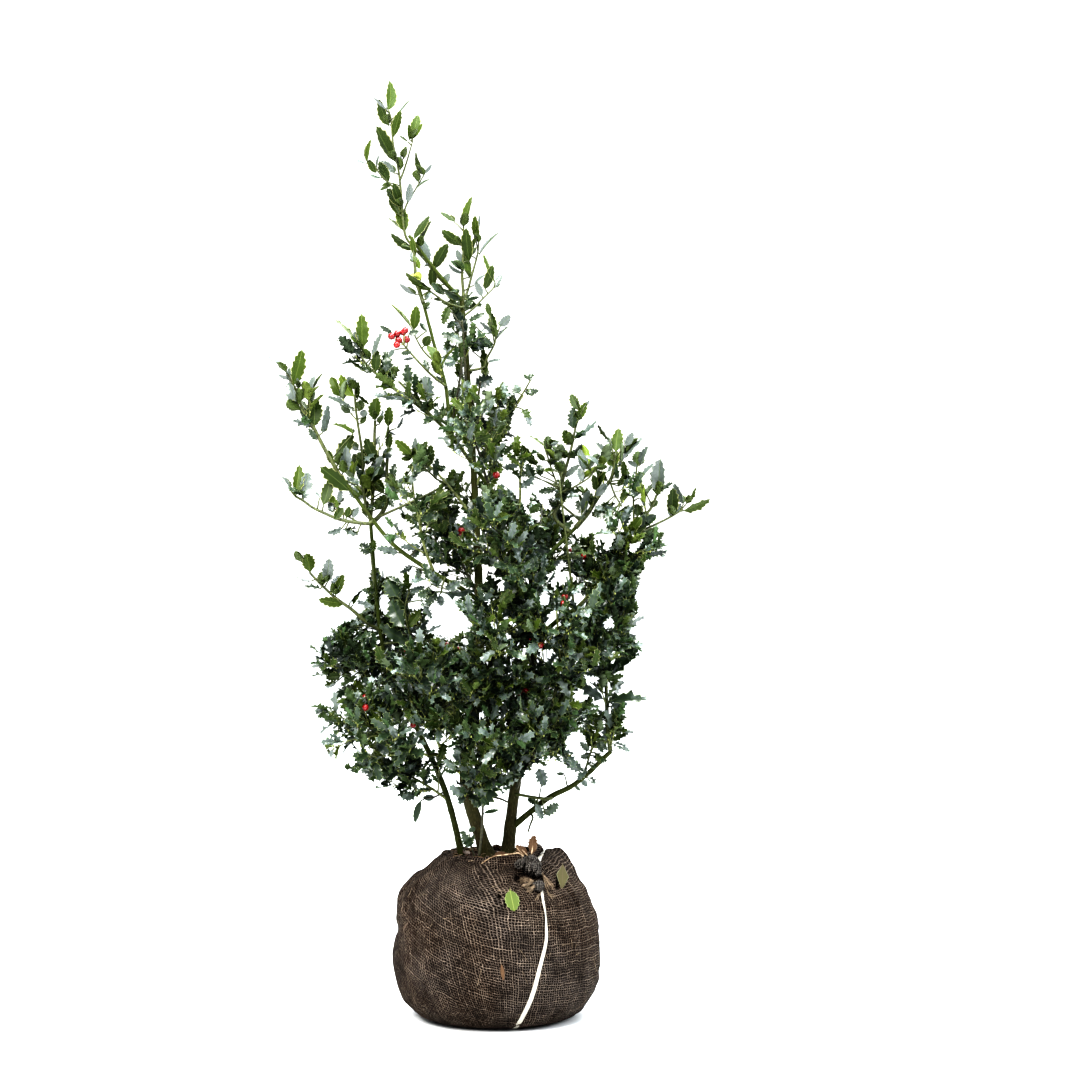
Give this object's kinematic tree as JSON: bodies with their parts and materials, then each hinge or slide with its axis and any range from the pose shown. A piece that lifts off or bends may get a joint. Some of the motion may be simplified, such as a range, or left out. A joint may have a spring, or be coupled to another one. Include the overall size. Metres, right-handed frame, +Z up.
{
  "type": "holly tree",
  "caption": "Young multi-stemmed holly with spiny evergreen leaves and red berries, on a burlap-wrapped root ball tied with a flat strap.",
  "frame": {"origin": "centre of the flat underside of the root ball", "axes": "+Z up, -Y towards the front, from which the knot and the strap show, +X to the right seen from there"},
  "size_m": [0.6732, 0.3807, 1.4219],
  "materials": {
    "burlap": "matte",
    "soil": "matte",
    "strap": "satin",
    "bark": "matte",
    "leaf": "satin"
  },
  "bodies": {
    "root": {"root_ball": "burlap", "soil_surface": "soil", "tie_strap": "strap", "burlap_knot": "burlap", "main_stem": "bark", "left_stem": "bark", "right_stem": "bark", "crossing_bough": "bark", "middle_leader": "bark", "top_leader": "bark", "long_left_bough": "bark", "low_right_bough": "bark", "middle_right_bough": "bark", "outer_right_bough": "bark", "upper_right_bough": "bark", "low_left_bough": "bark", "low_back_bough": "bark", "back_left_bough": "bark", "back_right_bough": "bark", "top_foliage": "leaf", "right_top_foliage": "leaf", "right_shoulder_foliage": "leaf", "upper_trunk_foliage": "leaf", "middle_leader_foliage": "leaf", "berried_foliage": "leaf", "upper_left_foliage": "leaf", "upper_back_foliage": "leaf", "high_right_foliage": "leaf", "inner_left_foliage": "leaf", "high_front_foliage": "leaf", "high_back_foliage": "leaf", "middle_top_foliage": "leaf", "far_left_foliage": "leaf", "left_side_foliage": "leaf", "left_shoot_foliage": "leaf", "left_twin_foliage": "leaf", "left_low_shoot_foliage": "leaf", "left_middle_foliage": "leaf", "middle_front_foliage": "leaf", "middle_back_foliage": "leaf", "front_right_foliage": "leaf", "middle_right_foliage": "leaf", "upper_right_foliage": "leaf", "outer_right_foliage": "leaf", "far_right_foliage": "leaf", "right_edge_foliage": "leaf", "right_middle_foliage": "leaf", "low_right_foliage": "leaf", "back_right_foliage": "leaf", "low_back_right_foliage": "leaf", "low_inner_right_foliage": "leaf", "low_left_foliage": "leaf", "left_front_foliage": "leaf", "low_front_foliage": "leaf", "left_edge_foliage": "leaf", "back_left_foliage": "leaf", "low_back_foliage": "leaf", "low_left_under_foliage": "leaf", "low_middle_foliage": "leaf", "middle_left_foliage": "leaf"}
  },
  "joints": []
}
